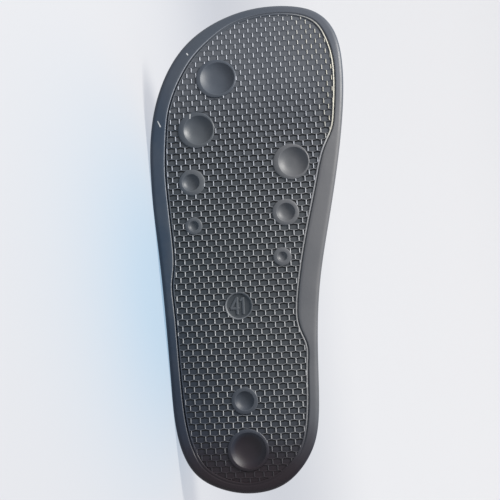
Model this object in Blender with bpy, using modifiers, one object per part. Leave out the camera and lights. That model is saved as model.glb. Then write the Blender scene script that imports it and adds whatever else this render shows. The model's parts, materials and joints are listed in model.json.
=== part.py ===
"""A sport slide sandal: the right shoe of a pair, lying on its lateral side.

The shoe is modelled in its own axes: x runs from the heel to the toe, y towards the medial side and z up
from the tread. At the end it is laid on its side, where the edge of the sole and the side of the strap touch
the floor. All lengths are in metres.
"""

import math

import bmesh
import bpy
import numpy as np
from mathutils import Matrix, Vector
from mathutils.geometry import intersect_ray_tri

SOLE_LENGTH = 0.270
BALL_WIDTH = 0.1055
HEEL_HEIGHT = 0.0320
INSTEP_HEIGHT = 0.080
CLEARANCE = 0.0003

TOE_SPRING_START = 0.0625
TOE_SPRING_RADIUS = 0.178
HEEL_SPRING_START = 0.026
HEEL_SPRING_RADIUS = 0.220
STEEPEST_SPRING_SHARE = 0.9

EDGE_RADIUS = 0.0026
WALL_TAPER = 0.0018
LIP_RADIUS = 0.0016
POCKET_WALL = 0.0017
POCKET_DEPTH = 0.0100
GROOVE_WIDTH = 0.0012
GROOVE_DEPTH = 0.0010

INSOLE_THICKNESS = 0.0035
INSOLE_DROP = 0.0010
INSOLE_EDGE_RADIUS = 0.0010

STRAP_THICKNESS = 0.0030
STRAP_EDGE_RADIUS = 0.0008
LATERAL_BULGE = 0.0020
MEDIAL_BULGE = 0.0008
STRAP_CURVE_POWER = 2.15
BULGE_LEVEL_SHARE = 0.40
CROWN_SHIFT_SHARE = 0.07

DISH_RADIUS = 0.0089
DISH_DEPTH = 0.0026
DISC_RADIUS = 0.0070
DISC_DEPTH = 0.0009
DISC_ALONG_SHARE = 0.368
DISC_ACROSS_SHARE = -0.016

HOLLOW_CURVE_POWER = 2.2
SPINE_SHARE = 0.80
BED_RING_SHARES = (0.75, 0.5, 0.25)

STATIONS = 44
STRAP_ROWS = 13
SWELL_STEPS = 5
ARCH_STEPS = 12
EDGE_STEPS = 3
DISH_SIDES = 28
DISH_RINGS = 24
DISC_SIDES = 40
SHARP_ANGLE = math.radians(35)
BEVEL_ANGLE = math.radians(50)

# Outline of the sole: along is a share of SOLE_LENGTH from the heel, across a share of BALL_WIDTH, positive
# on the medial side.
HEEL_TIP_SHARES = (0.0, 0.0)
TOE_TIP_SHARES = (1.0, 0.226)
LATERAL_OUTLINE_SHARES = (
    # along, across
    (0.007, -0.120),
    (0.029, -0.239),
    (0.069, -0.320),
    (0.150, -0.371),
    (0.220, -0.382),
    (0.340, -0.397),
    (0.440, -0.413),
    (0.540, -0.4345),
    (0.580, -0.4425),
    (0.625, -0.4475),
    (0.690, -0.448),
    (0.760, -0.428),
    (0.845, -0.361),
    (0.930, -0.217),
    (0.980, -0.022),
)
MEDIAL_OUTLINE_SHARES = (
    (0.007, 0.120),
    (0.040, 0.248),
    (0.098, 0.337),
    (0.175, 0.366),
    (0.290, 0.376),
    (0.410, 0.405),
    (0.530, 0.467),
    (0.650, 0.530),
    (0.780, 0.577),
    (0.860, 0.583),
    (0.917, 0.563),
    (0.961, 0.507),
    (0.990, 0.398),
)

# Edge of the tread field, in the same shares.
FIELD_HEEL_SHARES = (0.0190, -0.005)
FIELD_TOE_SHARES = (0.9775, 0.235)
LATERAL_FIELD_SHARES = (
    (0.028, -0.122),
    (0.051, -0.217),
    (0.092, -0.276),
    (0.140, -0.309),
    (0.216, -0.332),
    (0.300, -0.341),
    (0.380, -0.353),
    (0.418, -0.357),
    (0.452, -0.346),
    (0.500, -0.349),
    (0.580, -0.362),
    (0.657, -0.374),
    (0.715, -0.366),
    (0.763, -0.352),
    (0.805, -0.319),
    (0.849, -0.266),
    (0.890, -0.196),
    (0.924, -0.110),
    (0.962, 0.030),
)
MEDIAL_FIELD_SHARES = (
    (0.026, 0.094),
    (0.046, 0.184),
    (0.071, 0.243),
    (0.100, 0.279),
    (0.136, 0.299),
    (0.190, 0.311),
    (0.252, 0.318),
    (0.287, 0.317),
    (0.312, 0.296),
    (0.334, 0.279),
    (0.362, 0.279),
    (0.425, 0.299),
    (0.511, 0.343),
    (0.606, 0.406),
    (0.651, 0.432),
    (0.683, 0.461),
    (0.715, 0.503),
    (0.749, 0.520),
    (0.810, 0.533),
    (0.868, 0.530),
    (0.917, 0.500),
    (0.960, 0.424),
)

# Height of the side wall above the tread and depth of the footbed's hollow, as shares of HEEL_HEIGHT.
SIDE_HEIGHT_SHARES = (
    # along, lateral wall, medial wall, hollow
    (0.00, 1.00, 1.00, 0.20),
    (0.15, 0.96, 0.98, 0.21),
    (0.32, 0.88, 0.99, 0.12),
    (0.45, 0.82, 0.95, 0.09),
    (0.60, 0.74, 0.80, 0.10),
    (0.75, 0.69, 0.71, 0.11),
    (0.90, 0.67, 0.68, 0.11),
    (1.00, 0.68, 0.68, 0.10),
)

# The band's rows from its rear edge to its front edge: place in the band, seats and crown along the sole as
# shares of SOLE_LENGTH, and crown height as a share of INSTEP_HEIGHT.
STRAP_SECTION_SHARES = (
    # place, lateral seat, medial seat, crown, crown height
    (0.0, 0.430, 0.425, 0.500, 1.00),
    (0.5, 0.612, 0.610, 0.640, 0.895),
    (1.0, 0.795, 0.800, 0.775, 0.740),
)

# Round dishes in the tread: centre as shares of SOLE_LENGTH and BALL_WIDTH, radius and depth as shares of
# DISH_RADIUS and DISH_DEPTH.
DISH_SHARES = (
    # along, across, radius, depth
    (0.837, -0.083, 1.000, 1.00),
    (0.730, -0.197, 0.876, 0.88),
    (0.622, -0.231, 0.528, 0.69),
    (0.653, 0.289, 0.854, 0.88),
    (0.551, 0.247, 0.539, 0.69),
    (0.533, -0.231, 0.303, 0.46),
    (0.462, 0.219, 0.292, 0.46),
    (0.181, -0.008, 0.562, 0.69),
    (0.085, -0.001, 0.955, 1.00),
)


def spline(knots, values, at):
    """A natural cubic spline through the values, read at the given places."""
    x = np.asarray(knots, float)
    y = np.asarray(values, float)
    h = np.diff(x)
    slopes = np.diff(y) / h
    system = np.eye(len(x))
    right = np.zeros(len(x))
    for i in range(1, len(x) - 1):
        system[i, i - 1 : i + 2] = h[i - 1], 2 * (h[i - 1] + h[i]), h[i]
        right[i] = 6 * (slopes[i] - slopes[i - 1])
    bend = np.linalg.solve(system, right)
    at = np.asarray(at, float)
    i = np.clip(np.searchsorted(x, at) - 1, 0, len(h) - 1)
    a = (x[i + 1] - at) / h[i]
    b = (at - x[i]) / h[i]
    return a * y[i] + b * y[i + 1] + ((a**3 - a) * bend[i] + (b**3 - b) * bend[i + 1]) * h[i] ** 2 / 6


def turn_of(along):
    """The angle whose cosine runs from the heel tip, 0, to the toe tip, pi, as along runs from 0 to 1."""
    return np.arccos(1 - 2 * np.clip(along, 0, 1))


class ClosedCurve:
    """A smooth closed outline through a heel tip, a toe tip and a table for each side."""

    def __init__(self, heel_tip, lateral, toe_tip, medial):
        self.start = heel_tip[0]
        self.span = toe_tip[0] - heel_tip[0]
        rows = [(0.0, heel_tip[1])]
        rows += [(self.turn(along), across) for along, across in lateral]
        rows += [(math.pi, toe_tip[1])]
        rows += [(2 * math.pi - self.turn(along), across) for along, across in reversed(medial)]
        wrapped = rows[-6:], rows, rows[:6]
        self.knots = [turn + 2 * math.pi * k for k, part in zip((-1, 0, 1), wrapped) for turn, _ in part]
        self.values = [across for part in wrapped for _, across in part]

    def turn(self, along):
        return float(turn_of((along - self.start) / self.span))

    def points(self, turns):
        """Points of the outline in metres, as an array of (x, y)."""
        turns = np.asarray(turns, float)
        along = self.start + self.span * (1 - np.cos(turns)) / 2
        across = spline(self.knots, self.values, turns % (2 * math.pi))
        return np.stack([along * SOLE_LENGTH, across * BALL_WIDTH], axis=1)

    def offset(self, turns, distance):
        """The outline moved outwards by a distance, inwards where it is negative."""
        step = 1e-3
        tangent = self.points(np.asarray(turns) + step) - self.points(np.asarray(turns) - step)
        outward = np.stack([tangent[:, 1], -tangent[:, 0]], axis=1)
        outward /= np.linalg.norm(outward, axis=1)[:, None]
        return self.points(turns) + outward * distance

    def edge(self, x, medial):
        """Across position of one side at a place along the sole."""
        turn = turn_of((np.asarray(x) / SOLE_LENGTH - self.start) / self.span)
        return spline(self.knots, self.values, 2 * math.pi - turn if medial else turn) * BALL_WIDTH


outline = ClosedCurve(HEEL_TIP_SHARES, LATERAL_OUTLINE_SHARES, TOE_TIP_SHARES, MEDIAL_OUTLINE_SHARES)
field = ClosedCurve(FIELD_HEEL_SHARES, LATERAL_FIELD_SHARES, FIELD_TOE_SHARES, MEDIAL_FIELD_SHARES)


def loop_turns(stations):
    return np.arange(2 * stations) * math.pi / stations


def tread(x):
    """Height of the bottom surface: flat, with an arc up to the toe and a slight one behind the heel."""
    x = np.asarray(x, float)
    ahead = np.clip(x - (SOLE_LENGTH - TOE_SPRING_START), 0, STEEPEST_SPRING_SHARE * TOE_SPRING_RADIUS)
    behind = np.clip(HEEL_SPRING_START - x, 0, STEEPEST_SPRING_SHARE * HEEL_SPRING_RADIUS)
    toe = TOE_SPRING_RADIUS - np.sqrt(TOE_SPRING_RADIUS**2 - ahead**2)
    heel = HEEL_SPRING_RADIUS - np.sqrt(HEEL_SPRING_RADIUS**2 - behind**2)
    return toe + heel


def side_column(x, column):
    """A column of the side table, read along the sole and turned into metres."""
    rows = np.array(SIDE_HEIGHT_SHARES)
    return spline(rows[:, 0], rows[:, column], np.asarray(x) / SOLE_LENGTH) * HEEL_HEIGHT


def lip_height(points):
    """Height of the lip round the footbed, blended from the lateral to the medial wall."""
    x, y = points[:, 0], points[:, 1]
    low, high = outline.edge(x, False), outline.edge(x, True)
    share = np.clip((y - low) / np.maximum(high - low, 1e-6), 0, 1)
    blend = share * share * (3 - 2 * share)
    wall = side_column(x, 1) * (1 - blend) + side_column(x, 2) * blend
    return tread(x) + wall


def pocket_inset():
    """From the outline to the middle of a strap pocket."""
    return WALL_TAPER + POCKET_WALL + CLEARANCE + STRAP_THICKNESS / 2


def lip_inset():
    """From the outline to the wall of the insole's seat."""
    return pocket_inset() + STRAP_THICKNESS / 2 + CLEARANCE + POCKET_WALL


def ring(points, heights):
    return np.column_stack([points, np.broadcast_to(heights, len(points))])


def bowl(edge_loop, share):
    """A loop drawn in from the footbed's edge to its middle line, which ends short of the heel and the toe."""
    count = len(edge_loop)
    middle = (edge_loop + edge_loop[-np.arange(count)]) / 2
    heel_to_toe = middle[: count // 2 + 1]
    centre = SOLE_LENGTH / 2
    spine_x = centre + (middle[:, 0] - centre) * SPINE_SHARE
    spine_y = np.interp(spine_x, heel_to_toe[:, 0], heel_to_toe[:, 1])
    spine = np.stack([spine_x, spine_y], axis=1)
    return spine + (edge_loop - spine) * share


def bed_height(points, share):
    """Height of the footbed's surface where a loop stands at a share of the way from the middle to the edge."""
    hollow = side_column(points[:, 0], 3) * (1 - share**HOLLOW_CURVE_POWER)
    return lip_height(points) - INSOLE_DROP - hollow


def round_from_below(radius, steps):
    """(inset, height) pairs round a lower edge, from the bottom surface up to the wall."""
    angles = [math.pi / 2 * k / steps for k in range(steps + 1)]
    return [(radius * (1 - math.sin(angle)), radius * (1 - math.cos(angle))) for angle in angles]


def round_to_top(radius, steps):
    """(inset, height) pairs round an upper edge, from the wall up to the top surface at height 0."""
    angles = [math.pi / 2 * k / steps for k in range(steps + 1)]
    return [(radius * (1 - math.cos(angle)), -radius * (1 - math.sin(angle))) for angle in angles]


def material(name, colour, roughness, metallic=0.0):
    made = bpy.data.materials.new(name)
    made.use_nodes = True
    shader = made.node_tree.nodes["Principled BSDF"]
    shader.inputs["Base Color"].default_value = (*colour, 1.0)
    shader.inputs["Roughness"].default_value = roughness
    shader.inputs["Metallic"].default_value = metallic
    return made


def add_object(name, mesh, collection, parent, coat=None):
    obj = bpy.data.objects.new(name, mesh)
    obj.parent = parent
    collection.objects.link(obj)
    if coat:
        mesh.materials.append(coat)
    else:
        obj.hide_render = True
        obj.display_type = "WIRE"
    return obj


def loft(name, rings):
    """A closed mesh through loops of points, each end closed by strips from its lateral to its medial side."""
    count = len(rings[0])
    mesh = bpy.data.meshes.new(name)
    faces = []
    for k in range(len(rings) - 1):
        low, high = k * count, (k + 1) * count
        for i in range(count):
            j = (i + 1) % count
            faces.append((low + i, low + j, high + j, high + i))
    for base in (0, (len(rings) - 1) * count):
        faces.append((base, base + 1, base + count - 1))
        half = count // 2
        for i in range(1, half - 1):
            faces.append((base + i, base + i + 1, base + count - i - 1, base + count - i))
        faces.append((base + half - 1, base + half, base + half + 1))
    mesh.from_pydata([tuple(p) for p in np.concatenate(rings)], [], faces)
    finish_mesh(mesh)
    return mesh


def finish_mesh(mesh):
    work = bmesh.new()
    work.from_mesh(mesh)
    bmesh.ops.recalc_face_normals(work, faces=work.faces)
    work.to_mesh(mesh)
    work.free()
    mesh.shade_smooth()
    mesh.set_sharp_from_angle(angle=SHARP_ANGLE)


def groove_section():
    """(distance out from the field's edge, depth) pairs across the groove round the tread field."""
    slope = GROOVE_WIDTH / 5
    return (0, 0), (slope, GROOVE_DEPTH), (GROOVE_WIDTH - slope, GROOVE_DEPTH), (GROOVE_WIDTH, 0)


def sole_mesh():
    turns = loop_turns(STATIONS)
    rings = []
    for away, depth in groove_section():
        loop = field.offset(turns, away)
        rings.append(ring(loop, tread(loop[:, 0]) + depth))
    for inset, height in round_from_below(EDGE_RADIUS, EDGE_STEPS):
        loop = outline.offset(turns, -inset)
        rings.append(ring(loop, tread(loop[:, 0]) + height))
    for inset, drop in round_to_top(LIP_RADIUS, EDGE_STEPS):
        loop = outline.offset(turns, -(WALL_TAPER + inset))
        rings.append(ring(loop, lip_height(loop) + drop))
    seat = outline.offset(turns, -lip_inset())
    rings.append(ring(seat, lip_height(seat)))
    for share in (1.0, *BED_RING_SHARES):
        loop = bowl(seat, share)
        rings.append(ring(loop, bed_height(loop, share) - INSOLE_THICKNESS - CLEARANCE))
    return loft("sole", rings)


def insole_mesh():
    turns = loop_turns(STATIONS)
    inset_from_outline = lip_inset() + CLEARANCE
    edge = outline.offset(turns, -inset_from_outline)
    rings = []
    for share in (*reversed(BED_RING_SHARES), 1.0):
        loop = bowl(edge, share)
        rings.append(ring(loop, bed_height(loop, share) - INSOLE_THICKNESS))
    for inset, drop in round_to_top(INSOLE_EDGE_RADIUS, EDGE_STEPS - 1):
        loop = outline.offset(turns, -(inset_from_outline + inset))
        rings.append(ring(loop, bed_height(loop, 1.0) + drop))
    for share in BED_RING_SHARES:
        loop = bowl(edge, share)
        rings.append(ring(loop, bed_height(loop, share)))
    return loft("insole", rings)


def smooth(share):
    return share * share * (3 - 2 * share)


class BandSection:
    """The middle of the band's wall on one side, at a place from its rear edge, 0, to its front edge, 1."""

    def __init__(self, place, medial):
        places, *columns = np.array(STRAP_SECTION_SHARES).T
        lateral_seat, medial_seat, crown, height = (float(spline(places, column, place)) for column in columns)
        self.seat_x = (medial_seat if medial else lateral_seat) * SOLE_LENGTH
        self.crown_x = crown * SOLE_LENGTH
        self.top = height * INSTEP_HEIGHT
        outward = 1 if medial else -1
        edge = float(outline.edge(self.seat_x, medial))
        bulge = MEDIAL_BULGE if medial else LATERAL_BULGE
        self.seat_y = edge - outward * pocket_inset()
        self.widest_y = edge + outward * (bulge - STRAP_THICKNESS / 2)
        self.lip = float(lip_height(np.array([[self.seat_x, edge]]))[0])
        self.level = self.lip + (self.top - self.lip) * BULGE_LEVEL_SHARE
        lateral_edge, medial_edge = (float(outline.edge(self.crown_x, side)) for side in (False, True))
        self.crown_y = (lateral_edge + medial_edge) / 2 + CROWN_SHIFT_SHARE * (medial_edge - lateral_edge)

    def leg(self, lowest, highest):
        """Upright points in the pocket, between two heights counted from the lip."""
        heights = (lowest, (lowest + highest) / 2, highest)
        return [(self.seat_x, self.seat_y, self.lip + height) for height in heights]

    def arch(self):
        """Points from just above the lip, out to the widest level and over to the crown."""
        points = []
        for k in range(1, SWELL_STEPS + 1):
            share = k / SWELL_STEPS
            y = self.seat_y + (self.widest_y - self.seat_y) * smooth(share)
            points.append(self.lean(y, self.lip + (self.level - self.lip) * share))
        for k in range(1, ARCH_STEPS + 1):
            angle = math.pi / 2 * k / ARCH_STEPS
            reach = max(math.cos(angle), 0) ** (2 / STRAP_CURVE_POWER)
            rise = math.sin(angle) ** (2 / STRAP_CURVE_POWER)
            y = self.crown_y + (self.widest_y - self.crown_y) * reach
            points.append(self.lean(y, self.level + (self.top - self.level) * rise))
        return points

    def lean(self, y, z):
        """The point at this height, moved along the shoe from the seat towards the crown."""
        share = (z - self.lip) / (self.top - self.lip)
        return self.seat_x + (self.crown_x - self.seat_x) * smooth(share), y, z


def sheet(name, rows):
    """An open surface through rows of points."""
    across = len(rows[0])
    faces = []
    for r in range(len(rows) - 1):
        for c in range(across - 1):
            first = r * across + c
            faces.append((first, first + 1, first + across + 1, first + across))
    mesh = bpy.data.meshes.new(name)
    mesh.from_pydata([tuple(p) for row in rows for p in row], [], faces)
    finish_mesh(mesh)
    return mesh


def thicken(obj, thickness):
    wall = obj.modifiers.new("Wall", "SOLIDIFY")
    wall.thickness = thickness
    wall.offset = 0
    wall.use_even_offset = True


def strap_places():
    return [k / (STRAP_ROWS - 1) for k in range(STRAP_ROWS)]


def strap_mesh():
    rows = []
    for place in strap_places():
        lateral, medial = (BandSection(place, side) for side in (False, True))
        sides = [side.leg(CLEARANCE - POCKET_DEPTH, 0) + side.arch() for side in (lateral, medial)]
        rows.append(sides[0] + sides[1][-2::-1])
    return sheet("strap", rows)


def pocket_mesh(name, medial):
    """The middle surface of a strap pocket, longer than the band by the clearance at both ends."""
    rows = [BandSection(place, medial).leg(-POCKET_DEPTH, POCKET_DEPTH) for place in strap_places()]
    for row, neighbour in ((rows[0], rows[1]), (rows[-1], rows[-2])):
        step = (Vector(row[0]) - Vector(neighbour[0])).to_2d().normalized() * CLEARANCE
        row[:] = [(x + step.x, y + step.y, z) for x, y, z in row]
    return sheet(name, rows)


def cutter_mesh(name, work):
    mesh = bpy.data.meshes.new(name)
    work.to_mesh(mesh)
    work.free()
    finish_mesh(mesh)
    return mesh


def dish_mesh(name, along, across, radius_share, depth_share):
    """A ball that cuts a round hollow into the tread, square to its slope."""
    radius = radius_share * DISH_RADIUS
    depth = depth_share * DISH_DEPTH
    ball = (radius**2 + depth**2) / (2 * depth)
    x = along * SOLE_LENGTH
    step = 1e-4
    slope = float(tread(x + step) - tread(x - step)) / (2 * step)
    normal = Vector((-slope, 0, 1)).normalized()
    centre = Vector((x, across * BALL_WIDTH, float(tread(x)))) + normal * (depth - ball)
    place = Matrix.Translation(centre) @ normal.to_track_quat("Z", "Y").to_matrix().to_4x4()
    work = bmesh.new()
    bmesh.ops.create_uvsphere(work, u_segments=DISH_SIDES, v_segments=DISH_RINGS, radius=ball, matrix=place)
    return cutter_mesh(name, work)


def disc_mesh(name):
    """A drum that cuts the round recess of the size number, half of it inside the sole."""
    x = DISC_ALONG_SHARE * SOLE_LENGTH
    place = Matrix.Translation((x, DISC_ACROSS_SHARE * BALL_WIDTH, float(tread(x))))
    work = bmesh.new()
    bmesh.ops.create_cone(
        work,
        cap_ends=True,
        segments=DISC_SIDES,
        radius1=DISC_RADIUS,
        radius2=DISC_RADIUS,
        depth=2 * DISC_DEPTH,
        matrix=place,
    )
    return cutter_mesh(name, work)


def cut(obj, cutter):
    step = obj.modifiers.new(cutter.name, "BOOLEAN")
    step.object = cutter
    step.operation = "DIFFERENCE"
    step.solver = "EXACT"


def round_edges(obj, radius):
    bevel = obj.modifiers.new("Edges", "BEVEL")
    bevel.width = radius
    bevel.segments = 2
    bevel.limit_method = "ANGLE"
    bevel.angle_limit = BEVEL_ANGLE


def evaluated_points(obj):
    graph = bpy.context.evaluated_depsgraph_get()
    evaluated = obj.evaluated_get(graph)
    mesh = evaluated.to_mesh()
    mesh.calc_loop_triangles()
    points = np.empty(len(mesh.vertices) * 3)
    mesh.vertices.foreach_get("co", points)
    corners = np.empty(len(mesh.loop_triangles) * 3, int)
    mesh.loop_triangles.foreach_get("vertices", corners)
    evaluated.to_mesh_clear()
    return points.reshape(-1, 3), corners.reshape(-1, 3)


def lay_on_side(root, pieces):
    """Turns the shoe so that it rests on its lateral side, on the hull face under its centre of mass."""
    bpy.context.view_layer.update()
    every = []
    weight = 0.0
    moment = np.zeros(3)
    for piece in pieces:
        points, corners = evaluated_points(piece)
        every.append(points)
        a, b, c = (points[corners[:, k]] for k in range(3))
        volumes = np.einsum("ij,ij->i", a, np.cross(b, c)) / 6
        weight += volumes.sum()
        moment += ((a + b + c) / 4 * volumes[:, None]).sum(axis=0)
    every = np.concatenate(every)
    centre = Vector(moment / weight)
    hull = bmesh.new()
    for point in every:
        hull.verts.new(point)
    bmesh.ops.convex_hull(hull, input=hull.verts)
    bmesh.ops.triangulate(hull, faces=hull.faces)
    lateral = Vector((0, -1, 0))
    down = lateral
    for face in hull.faces:
        corners = [v.co for v in face.verts]
        if face.calc_area() > 0 and intersect_ray_tri(*corners, lateral, centre, True):
            down = face.normal.copy()
            break
    hull.free()
    if down.dot(lateral) < 0:
        down = -down
    up = -down
    toe = Vector((1, 0, 0))
    back = -(toe - up * toe.dot(up)).normalized()
    turn = Matrix((back, up.cross(back), up))
    laid = every @ np.array(turn).T
    low, high = laid.min(axis=0), laid.max(axis=0)
    shift = Vector(((low[0] + high[0]) / 2, (low[1] + high[1]) / 2, low[2]))
    root.matrix_world = Matrix.Translation(-shift) @ turn.to_4x4()


def build():
    for obj in list(bpy.data.objects):
        bpy.data.objects.remove(obj, do_unlink=True)
    parts = bpy.data.collections.new("slide_sandal")
    cutters = bpy.data.collections.new("cutters")
    bpy.context.scene.collection.children.link(parts)
    bpy.context.scene.collection.children.link(cutters)
    root = bpy.data.objects.new("sandal", None)
    parts.objects.link(root)

    sole = add_object("sole", sole_mesh(), parts, root, material("moulded_sole", (0.062, 0.066, 0.072), 0.62))
    insole = add_object("insole", insole_mesh(), parts, root, material("footbed", (0.045, 0.047, 0.050), 0.75))
    strap = add_object("strap", strap_mesh(), parts, root, material("band", (0.050, 0.052, 0.055), 0.55))
    thicken(strap, STRAP_THICKNESS)
    round_edges(strap, STRAP_EDGE_RADIUS)

    for name, medial in (("lateral_pocket", False), ("medial_pocket", True)):
        pocket = add_object(name, pocket_mesh(name, medial), cutters, root)
        thicken(pocket, STRAP_THICKNESS + 2 * CLEARANCE)
        cut(sole, pocket)
    for k, row in enumerate(DISH_SHARES, 1):
        name = f"dish_{k}"
        cut(sole, add_object(name, dish_mesh(name, *row), cutters, root))
    cut(sole, add_object("number_disc", disc_mesh("number_disc"), cutters, root))

    lay_on_side(root, (sole, insole, strap))


build()
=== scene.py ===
"""The looks of a sport slide sandal that lies on its side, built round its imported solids.

The sandal's own axes are those of its CAD source: x from the heel to the toe, y towards the medial side and z
up from the tread. The two mounts on the tread say where those axes lie in the frame. Points of the tread are
given as (u, v, depth): u along the bent bottom surface, v across it and depth into the sole. All lengths are
in metres.
"""

import json
import math

import bmesh
import bpy
import numpy as np
from mathutils import Matrix, Vector, noise
from mathutils.geometry import delaunay_2d_cdt


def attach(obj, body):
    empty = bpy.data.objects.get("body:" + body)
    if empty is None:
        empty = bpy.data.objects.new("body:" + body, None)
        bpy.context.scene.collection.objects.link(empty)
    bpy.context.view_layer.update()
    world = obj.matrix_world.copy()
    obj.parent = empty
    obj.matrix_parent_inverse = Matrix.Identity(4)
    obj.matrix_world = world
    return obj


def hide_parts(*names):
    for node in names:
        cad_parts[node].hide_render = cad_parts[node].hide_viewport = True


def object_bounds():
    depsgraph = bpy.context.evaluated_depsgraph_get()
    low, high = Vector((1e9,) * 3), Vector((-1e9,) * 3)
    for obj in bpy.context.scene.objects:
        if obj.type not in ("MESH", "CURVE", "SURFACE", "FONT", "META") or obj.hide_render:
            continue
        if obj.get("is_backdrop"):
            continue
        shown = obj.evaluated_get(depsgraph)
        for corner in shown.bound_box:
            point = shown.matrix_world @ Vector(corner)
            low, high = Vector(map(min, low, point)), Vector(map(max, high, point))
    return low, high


MM = 0.001

# The driving sizes of the solids.
SOLE_LENGTH = 0.270
BALL_WIDTH = 0.1055
HEEL_HEIGHT = 0.0320
INSTEP_HEIGHT = 0.080
CLEARANCE = 0.0003
TOE_SPRING_START = 0.0625
TOE_SPRING_RADIUS = 0.178
HEEL_SPRING_START = 0.026
HEEL_SPRING_RADIUS = 0.220
EDGE_RADIUS = 0.0026
WALL_TAPER = 0.0018
LIP_RADIUS = 0.0016
POCKET_WALL = 0.0017
POCKET_DEPTH = 0.0100
INSOLE_THICKNESS = 0.0035
INSOLE_DROP = 0.0010
STRAP_THICKNESS = 0.0030
LATERAL_BULGE = 0.0020
MEDIAL_BULGE = 0.0008
STRAP_CURVE_POWER = 2.15
BULGE_LEVEL_SHARE = 0.40
CROWN_SHIFT_SHARE = 0.07
HOLLOW_CURVE_POWER = 2.2
SPINE_SHARE = 0.80
HEEL_MOUNT_X = 0.070

# Outline of the sole: along is a share of SOLE_LENGTH from the heel, across a share of BALL_WIDTH.
HEEL_TIP_SHARES = (0.0, 0.0)
TOE_TIP_SHARES = (1.0, 0.226)
LATERAL_OUTLINE_SHARES = (
    # along, across
    (0.007, -0.120), (0.029, -0.239), (0.069, -0.320), (0.150, -0.371), (0.220, -0.382),
    (0.340, -0.397), (0.440, -0.413), (0.540, -0.4345), (0.580, -0.4425), (0.625, -0.4475),
    (0.690, -0.448), (0.760, -0.428), (0.845, -0.361), (0.930, -0.217), (0.980, -0.022),
)
MEDIAL_OUTLINE_SHARES = (
    (0.007, 0.120), (0.040, 0.248), (0.098, 0.337), (0.175, 0.366), (0.290, 0.376), (0.410, 0.405),
    (0.530, 0.467), (0.650, 0.530), (0.780, 0.577), (0.860, 0.583), (0.917, 0.563), (0.961, 0.507),
    (0.990, 0.398),
)

# Edge of the tread field, in the same shares.
FIELD_HEEL_SHARES = (0.0190, -0.005)
FIELD_TOE_SHARES = (0.9775, 0.235)
LATERAL_FIELD_SHARES = (
    (0.028, -0.122), (0.051, -0.217), (0.092, -0.276), (0.140, -0.305), (0.216, -0.323),
    (0.300, -0.334), (0.380, -0.346), (0.418, -0.350), (0.452, -0.339), (0.500, -0.340),
    (0.580, -0.355), (0.657, -0.364), (0.715, -0.356), (0.763, -0.342), (0.805, -0.311),
    (0.849, -0.260), (0.890, -0.193), (0.924, -0.110), (0.962, 0.030),
)
MEDIAL_FIELD_SHARES = (
    (0.026, 0.094), (0.046, 0.184), (0.071, 0.243), (0.100, 0.279), (0.136, 0.299), (0.190, 0.311),
    (0.252, 0.318), (0.287, 0.317), (0.312, 0.293), (0.334, 0.279), (0.362, 0.279), (0.425, 0.301),
    (0.511, 0.347), (0.606, 0.407), (0.651, 0.435), (0.683, 0.464), (0.715, 0.503), (0.749, 0.520),
    (0.810, 0.533), (0.868, 0.530), (0.917, 0.500), (0.960, 0.424),
)

# Height of the side wall and depth of the footbed's hollow, as shares of HEEL_HEIGHT.
SIDE_HEIGHT_SHARES = (
    # along, lateral wall, medial wall, hollow
    (0.00, 1.00, 1.00, 0.20),
    (0.15, 0.96, 0.98, 0.21),
    (0.32, 0.88, 0.99, 0.12),
    (0.45, 0.82, 0.95, 0.09),
    (0.60, 0.74, 0.80, 0.10),
    (0.75, 0.69, 0.71, 0.11),
    (0.90, 0.67, 0.68, 0.11),
    (1.00, 0.68, 0.68, 0.10),
)

# Rows of the band from its rear to its front edge: seats and crown as shares of SOLE_LENGTH, and the crown's
# height as a share of INSTEP_HEIGHT.
STRAP_SECTION_SHARES = (
    # place, lateral seat, medial seat, crown, crown height
    (0.0, 0.430, 0.425, 0.500, 1.00),
    (0.5, 0.612, 0.610, 0.640, 0.895),
    (1.0, 0.795, 0.800, 0.775, 0.740),
)

# Dishes in the tread: centre as shares of SOLE_LENGTH and BALL_WIDTH, then the outer radius of the flat ring,
# the radius of the hollow, its depth and how far it lies towards the medial side, in millimetres.
DISHES = (
    # along, across, ring, radius, depth, shift
    (0.837, -0.083, 11.3, 9.4, 2.6, 0.8),
    (0.730, -0.197, 10.2, 8.0, 2.5, 1.2),
    (0.622, -0.231, 7.3, 4.7, 2.1, -0.5),
    (0.653, 0.289, 10.0, 8.0, 2.6, 1.2),
    (0.551, 0.247, 7.3, 4.9, 2.1, 0.2),
    (0.533, -0.231, 4.8, 2.7, 1.3, 0.0),
    (0.462, 0.219, 5.0, 2.6, 1.3, 0.0),
    (0.181, -0.008, 7.2, 5.0, 2.1, 0.0),
    (0.085, -0.001, 11.1, 9.3, 3.0, 0.2),
)

DISC_ALONG_SHARE = 0.368
DISC_ACROSS_SHARE = -0.016
DISC_RADIUS = 0.0070
DISC_BORDER = 0.0005
DISC_DEPTH = 0.0009

# Rings in millimetres: out from a dish's edge, its hollow's edge or the disc's edge, then depth and dust; on
# the disc's floor the dust column goes below zero, a painted shade in the recess, and the hollows are a
# little darker.
DISH_RING = ((0.14, 0.73, 0.1), (-0.04, 0.48, 0.4), (-0.20, 0.10, 0.5), (-0.38, 0.0, 0.42))
DISH_LIP = ((0.40, 0.0, 0.42), (0.14, 0.02, 0.5), (0.0, 0.10, 0.4))
DISC_RINGS = (
    (0.60, 0.73, 0.1),
    (0.50, 0.40, 0.5),
    (0.38, 0.02, 0.5),
    (0.08, 0.02, 0.45),
    (-0.10, 0.14, 0.62),
    (-0.46, 0.80, 0.3),
    (-0.66, 0.90, -0.15),
    (-3.50, 0.90, -0.2),
)
BOWL_DUST = 0.33
BOWL_END_SHARE = 0.02

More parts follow.
